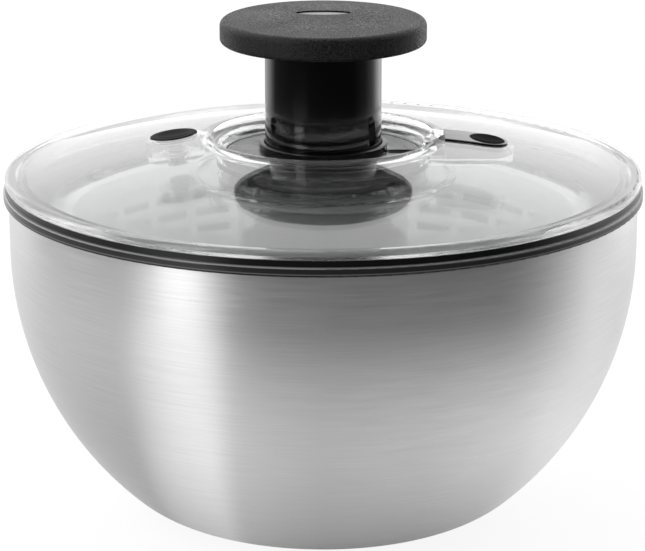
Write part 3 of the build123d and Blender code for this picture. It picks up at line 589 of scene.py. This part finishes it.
def rounded(corners, steps=6):
    """Outline points of (radius, level, rounding) corners."""
    points = []
    for i, (r, z, rounding) in enumerate(corners):
        here = Vector((r, z))
        if not rounding:
            points.append((r, z))
            continue
        back = (Vector(corners[i - 1][:2]) - here).normalized()
        on = (Vector(corners[(i + 1) % len(corners)][:2]) - here).normalized()
        half = back.angle(on) / 2
        centre = here + (back + on).normalized() * rounding / math.sin(half)
        start = here + back * rounding / math.tan(half) - centre
        end = here + on * rounding / math.tan(half) - centre
        for step in range(steps + 1):
            arm = start.lerp(end, step / steps)
            points.append(tuple(centre + arm.normalized() * rounding))
    return points


def turned_shell():
    """An outline that starts and ends on the Z axis, turned about it."""
    tree, given, out = growth("turned_shell", {"Rail": RAIL, "Segments": 256}, takes_outline=True)
    section = make(tree, "GeometryNodeMeshToCurve", given["Outline"])
    shell = welded(tree, swept(tree, rail_circle(tree, given["Rail"], given["Segments"]), section))
    close_growth(tree, out, shell, STEEL)
    return tree


def bowl_outline():
    """Inside from the pivot up to the hemmed rim, then outside down to the pivot's hollow. Sizes in mm."""
    lean = math.radians(48.0)
    radius, base, foot, rim, top, wall = 129.9, 54.987, 1.4, 138.0, 115.8, 0.9
    pivot_rise, pivot_top, pivot_foot, hem_deep = 10, 3.0, 12.0, 7.0
    side_steps, heel_steps = 40, 18
    width, height = radius - base, top - foot
    scale = (1 - math.cos(lean)) * (1 - math.sin(lean)) - math.cos(lean) * math.sin(lean)
    side_r = (width * (1 - math.sin(lean)) - height * math.cos(lean)) / scale
    heel_r = (height * (1 - math.cos(lean)) - width * math.sin(lean)) / scale
    side = (radius - side_r, top)
    heel = (side[0] + (side_r - heel_r) * math.cos(lean), top - (side_r - heel_r) * math.sin(lean))

    def curve(inset):
        turns = [(side, side_r, lean * i / side_steps) for i in range(side_steps + 1)]
        turns += [(heel, heel_r, lean + (math.pi / 2 - lean) * i / heel_steps)
                  for i in range(1, heel_steps + 1)]
        return [(c[0] + (r - inset) * math.cos(a), c[1] - (r - inset) * math.sin(a)) for c, r, a in turns]

    hem = radius - 2 * wall
    crown = foot + pivot_rise
    pivot_in = rounded([(0, crown, 0), (pivot_top, crown, 1.2), (pivot_foot, foot + wall, 1.9),
                        (heel[0], foot + wall, 0)])
    lip = rounded([(radius - wall, rim - hem_deep - wall, 0), (hem, rim - hem_deep, 0), (hem, rim, 0.4),
                   (radius, rim, 0.4), (radius, top, 0)])
    pivot_out = rounded([(heel[0], foot, 0), (pivot_foot - wall, foot, 1.0),
                         (pivot_top - wall, crown - wall, 0.4), (0, crown - wall, 0)])
    return pivot_in[:-1] + curve(wall)[::-1] + lip[:-1] + curve(0) + pivot_out[1:]


BASKET_LEAN = 0.1969
BASKET_LOW = (86.5, 30)     # radius and level in mm where the wall's line starts


def basket_cage():
    """Turned pan and rim, joined by tilted slats and ribs, with a slotted floor and driving lugs."""
    tree, given, out = growth("basket_cage", {
        "Ribs": 30, "Slats": 10, "First slat": 40.75 * MM, "Slat pitch": 7.5 * MM, "Slat height": 4.3 * MM,
        "Wall": 2.0 * MM, "Low level": BASKET_LOW[1] * MM, "Low radius": BASKET_LOW[0] * MM,
        "Lean": BASKET_LEAN, "Rib width": 4.6 * MM, "Rib foot": 34 * MM, "Rib head": 115 * MM,
        "Floor slits": 24, "Slit from": 24 * MM, "Slit to": 62 * MM, "Slit width": 3.2 * MM,
        "Slit cut": 8 * MM, "Floor level": 13 * MM, "Lugs": 12, "Lug circle": 108.3 * MM,
        "Lug level": 127.55 * MM, "Lug depth": 3.6 * MM, "Lug width": 6 * MM, "Lug height": 3.3 * MM},
        takes_outline=True)
    segments = 180
    section = make(tree, "GeometryNodeMeshToCurve", given["Outline"])
    shell = welded(tree, swept(tree, rail_circle(tree, RAIL, segments), section))

    def wall_radius(level):
        """Radius of the wall's middle at a level."""
        rise = math_node(tree, "SUBTRACT", level, given["Low level"])
        leant = math_node(tree, "MULTIPLY", rise, given["Lean"])
        outer = math_node(tree, "ADD", given["Low radius"], leant)
        return math_node(tree, "SUBTRACT", outer, math_node(tree, "MULTIPLY", given["Wall"], 0.5))

    def flat_bar(width, height, rounding):
        """Section of a slat or rib."""
        bar = make(tree, "GeometryNodeCurvePrimitiveQuadrilateral", width, height)
        return make(tree, "GeometryNodeFilletCurve", bar, 2, rounding, mode="POLY")

    length = math_node(tree, "SUBTRACT", given["Slit to"], given["Slit from"])
    ends = math_node(tree, "ADD", given["Slit to"], given["Slit from"])
    middle = math_node(tree, "MULTIPLY", ends, 0.5)
    block = vector(tree, length, given["Slit width"], given["Slit cut"])
    slit = make(tree, "GeometryNodeMeshCube", block)
    slit = moved(tree, slit, vector(tree, middle, 0.0, given["Floor level"]))
    slits = carried_round(tree, slit, given["Floor slits"], 0.0)
    pan = cut_away(tree, shell, make(tree, "GeometryNodeRealizeInstances", slits))

    points = make(tree, "GeometryNodeMeshLine", given["Slats"], None, vector(tree, z=given["First slat"]),
                  vector(tree, z=given["Slat pitch"]))
    reach = wall_radius(axes(tree, make(tree, "GeometryNodeInputPosition"))[2])
    ring = rail_circle(tree, 1.0, segments)
    rings = make(tree, "GeometryNodeInstanceOnPoints", points, None, ring, None, None, None,
                 vector(tree, reach, reach, 1.0))
    rings = make(tree, "GeometryNodeRealizeInstances", rings)
    tilt = math_node(tree, "ARCTANGENT", given["Lean"])
    rings = make(tree, "GeometryNodeSetCurveTilt", rings, None, tilt)
    slats = swept(tree, rings, flat_bar(given["Wall"], given["Slat height"], rounding=0.5 * MM))

    foot_and_head = [vector(tree, wall_radius(given[name]), 0.0, given[name])
                     for name in ("Rib foot", "Rib head")]
    line = make(tree, "GeometryNodeCurvePrimitiveLine", *foot_and_head)
    line = make(tree, "GeometryNodeSetCurveNormal", line, mode="Z_UP")
    rib = swept(tree, line, flat_bar(given["Rib width"], given["Wall"], rounding=0.6 * MM), True)
    ribs = carried_round(tree, rib, given["Ribs"], math_node(tree, "DIVIDE", math.pi, given["Ribs"]))

    lug = make(tree, "GeometryNodeMeshCube",
               vector(tree, given["Lug depth"], given["Lug width"], given["Lug height"]))
    lug = moved(tree, lug, vector(tree, given["Lug circle"], 0.0, given["Lug level"]))
    lugs = carried_round(tree, lug, given["Lugs"], 0.0)
    close_growth(tree, out, join(tree, pan, slats, ribs, lugs), WHITE_MOULDING)
    return tree


def basket_outline():
    """Pan and rim of the basket, in mm."""
    thick = 2

    def wall(z):
        return BASKET_LOW[0] + BASKET_LEAN * (z - BASKET_LOW[1])

    pan = [(0, 14, 0), (wall(14) - thick, 14, 14), (wall(35.4) - thick, 35.4, 0.6),
           (wall(35.4), 35.4, 0.6), (wall(12), 12, 16), (8, 12, 0), (8, 10.2, 0.5), (4.6, 10.2, 0),
           (4.6, 11.75, 0.4), (0, 11.75, 0)]
    rim = [(wall(113.6) - thick, 113.6, 0.6), (103.6, 127, 0.6), (110.6, 127, 0.6), (110.6, 124.8, 0.6),
           (wall(124.8), 124.8, 0.8), (wall(113.6), 113.6, 0.6)]
    return outline_mesh((rounded(pan), False), (rounded(rim), True))


def oval_plate():
    """A thin oval plate, slightly narrower at its top."""
    sides, top_radius, foot_radius = 96, 0.485, 0.5
    tree, given, out = growth("oval_plate", {
        "Length": 22.3 * MM, "Width": 8.8 * MM, "Thickness": 0.75 * MM,
        "Base": (0.0, 10 * MM, 207.77 * MM)})
    disc = make(tree, "GeometryNodeMeshCone", sides, 1, 1, top_radius, foot_radius, given["Thickness"])
    oval = vector(tree, given["Length"], given["Width"], 1.0)
    close_growth(tree, out, moved(tree, disc, given["Base"], None, oval), BADGE)
    return tree


springs = wound_spring()
spring = grow("return_spring_wire", springs, "plunger", "return_spring", "spring_steel", sharp=60.0,
              Radius=9 * MM, Wire=1.3 * MM, Height=56.1 * MM, Turns=8.0, Base=(0.0, 0.0, 147.25 * MM))
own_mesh(spring)
# The brake button's axis, upwards, and its place on the dome
press = Vector((-0.131501, 0.017125, 0.991168))
button = Vector((-62.2, 8.1, 158.077)) * MM
brake_wire = grow("brake_spring_wire", springs, "brake", "brake_spring", "spring_steel", sharp=60.0,
                  Radius=5 * MM, Wire=0.7 * MM, Height=5.5 * MM, Turns=3.0,
                  Base=tuple(button - press * 8.9 * MM),
                  Tilt=tuple(Vector((0, 0, 1)).rotation_difference(press).to_euler()))
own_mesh(brake_wire)
screws = screw_ring()
grow("knob_screw_set", screws, "plunger", "knob_screws", "screw_steel", Count=3, Circle=16.6 * MM,
     Start=math.pi / 2, Level=201.75 * MM, Length=3.3 * MM)
grow("cup_screw_set", screws, "turntable", "cup_screws", "screw_steel", Count=4, Circle=38.1 * MM,
     Start=math.pi / 4, Level=135.06 * MM, Length=6.5 * MM)
grow("steel_bowl", turned_shell(), "bowl", "bowl", "steel", outline=outline_mesh((bowl_outline(), False)),
     sharp=30.0)
grow("slotted_basket", basket_cage(), "basket", "basket", "basket_plastic", outline=basket_outline())
grow("badge_plate", oval_plate(), "plunger", "knob_badge", "badge_metal")


# Stage: floor, light and camera

# Levels by compass angle in degrees, 0 towards the front and positive to the right. The three floor lists
# are painted reflection: the floor glows with them to glossy rays, as a studio floor lit by lamps would
# look in the steel; HORIZON is the world's light.
FAR_FLOOR = [(-180, 0.95), (-66, 0.82), (-58, 1.5), (-36, 1.65), (-28, 0.45), (-15, 0.26), (10, 0.2),
             (60, 0.15), (72, 0.3), (88, 0.85), (100, 1.2), (122, 0.85), (170, 0.78), (180, 0.95)]
NEAR_FLOOR = [(-180, 0.85), (-60, 0.6), (-52, 1.1), (-44, 1.4), (-32, 1.6), (-25, 1.0), (0, 0.83),
              (30, 0.95), (45, 1.1), (62, 1.22), (75, 1.38), (93, 1.28), (115, 1.05), (180, 0.85)]
FLOOR_EDGE = [(-180, 0.7), (-160, 0.8), (-145, 1.3), (-128, 1.3), (-108, 0.2), (-60, 0.1), (0, 0.06),
              (60, 0.06), (90, 0.2), (112, 0.7), (130, 1.9), (145, 1.9), (160, 0.8), (180, 0.7)]
HORIZON = [(-180, 1.2), (-155, 1.7), (-125, 1.8), (-95, 1.2), (-80, 1.0), (-66, 0.6), (-35, 0.3), (0, 0.2),
           (60, 0.14), (75, 0.25), (90, 0.5), (110, 1.3), (130, 1.95), (155, 1.8), (180, 1.2)]
# Distances from the axis over which one floor level gives way to the next
NEAR_TO_FAR = (0.16, 0.42)
FAR_TO_EDGE = (0.7, 0.8)
UNDER_BOWL = (0.065, 0.14)
UNDER_SHARE, OPEN_SHARE = 0.2, 0.8      # how much of a floor level the steel mirrors, the rest is shadow
FLOOR_COLOUR = grey(0.86)
FLOOR_SHOWN = grey(1.05)
SHOWN_SHARE = 0.85                      # the rest of the floor's view keeps the shadow
LOW_SKY, HIGH_SKY = 0.9, 1.15
HIGH_SKY_FROM = 0.6
LAMP_AIM = Vector((0, 0, 0.1))


def azimuth_ramp(tree, x, y, stops):
    """Level by compass angle in degrees."""
    turn = math_node(tree, "ARCTAN2", x, math_node(tree, "MULTIPLY", y, -1.0))
    share = spread(tree, turn, 0.0, 1.0, -math.pi, math.pi)
    return ramp(tree, share, [((angle + 180) / 360, level) for angle, level in stops])


def seen_rays(tree):
    """Light paths, and 1 on those that show the stage straight or through the clear lid."""
    path = place(tree, "ShaderNodeLightPath").outputs
    return path, math_node(tree, "MAXIMUM", path["Is Camera Ray"], path["Is Transmission Ray"])


def floor():
    """A pale floor, in view white with a soft shadow, and in the steel a painted reflection: to glossy
    rays it glows with levels by compass angle, as a studio floor lit by lamps.
    """
    half = 6.0
    mesh = bpy.data.meshes.new("floor")
    corners = [(-half, -half, 0), (half, -half, 0), (half, half, 0), (-half, half, 0)]
    mesh.from_pydata(corners, [], [(0, 1, 2, 3)])
    made = bpy.data.objects.new("floor", mesh)
    bpy.context.scene.collection.objects.link(made)
    material, tree, shader = new_material("pale_floor")
    shader.inputs["Base Color"].default_value = FLOOR_COLOUR
    shader.inputs["Roughness"].default_value = 0.9
    x, y = axes(tree, spot(tree))[:2]
    reach = axis_reach(tree)
    far = spread(tree, reach, 0.0, 1.0, *NEAR_TO_FAR)
    edge = spread(tree, reach, 0.0, 1.0, *FAR_TO_EDGE)
    near_level, far_level, edge_level = [azimuth_ramp(tree, x, y, stops)
                                         for stops in (NEAR_FLOOR, FAR_FLOOR, FLOOR_EDGE)]
    # Painted reflection: the levels the floor glows with to glossy rays, standing in for a floor lit by
    # lamps
    painted_reflection = mixed(tree, edge, mixed(tree, far, near_level, far_level), edge_level)
    path, seen = seen_rays(tree)
    glow = make(tree, "ShaderNodeEmission", mixed(tree, seen, painted_reflection, FLOOR_SHOWN))
    shown = math_node(tree, "MULTIPLY", seen, SHOWN_SHARE)
    near_share = spread(tree, reach, UNDER_SHARE, OPEN_SHARE, *UNDER_BOWL)
    share = math_node(tree, "MAXIMUM", near_share, far)
    mirrored = math_node(tree, "MULTIPLY", path["Is Glossy Ray"], share)
    lit = math_node(tree, "MAXIMUM", shown, mirrored)
    both = make(tree, "ShaderNodeMixShader", lit, shader.outputs[0], glow)
    feed(tree, tree.nodes["Material Output"], "Surface", both)
    made.data.materials.append(material)


def studio_world():
    """A room that is white in view, and lights the object by the levels of the horizon."""
    world = bpy.data.worlds.new("studio")
    bpy.context.scene.world = world
    world.use_nodes = True
    tree = world.node_tree
    tree.nodes.clear()
    x, y, z = axes(tree, place(tree, "ShaderNodeTexCoord").outputs["Generated"])
    lift = spread(tree, z, LOW_SKY, HIGH_SKY, 0.0, HIGH_SKY_FROM)
    level = mixed(tree, 1.0, azimuth_ramp(tree, x, y, HORIZON), lift, "MULTIPLY")
    seen = seen_rays(tree)[1]
    background = make(tree, "ShaderNodeBackground", mixed(tree, seen, level, grey(1)), 1.0)
    feed(tree, place(tree, "ShaderNodeOutputWorld"), "Surface", background)


def softbox(name, azimuth, elevation, distance, width, height, radiance):
    """A soft rectangular lamp that faces the object."""
    lamp = bpy.data.lights.new(name, "AREA")
    lamp.shape = "RECTANGLE"
    lamp.size = width
    lamp.size_y = height
    lamp.energy = radiance * math.pi * width * height
    made = bpy.data.objects.new(name, lamp)
    a = math.radians(azimuth)
    e = math.radians(elevation)
    back = Vector((math.sin(a) * math.cos(e), -math.cos(a) * math.cos(e), math.sin(e)))
    made.location = LAMP_AIM + back * distance
    made.rotation_euler = (-back).to_track_quat("-Z", "Y").to_euler()
    bpy.context.scene.collection.objects.link(made)
    made.visible_camera = False


def camera():
    """The photograph's viewing angle."""
    look_down = 0.2784
    data = bpy.data.cameras.new("camera")
    made = bpy.data.objects.new("camera", data)
    data.sensor_width = 36.0
    data.lens = 166.49
    data.shift_x = -0.00117
    made.location = (0, -1.2, 0.4424)
    made.rotation_euler = (math.pi / 2 - look_down, 0, 0)
    bpy.context.scene.collection.objects.link(made)
    bpy.context.scene.camera = made


floor()
studio_world()
softbox("left_softbox", azimuth=-49, elevation=26, distance=1.1, width=0.34, height=1.1, radiance=3.4)
camera()
bpy.context.scene.view_settings.view_transform = "Standard"
# Light turns many times inside the clear lid before it leaves
light_paths = bpy.context.scene.cycles
light_paths.max_bounces = 32
light_paths.glossy_bounces = 24
light_paths.transmission_bounces = 24
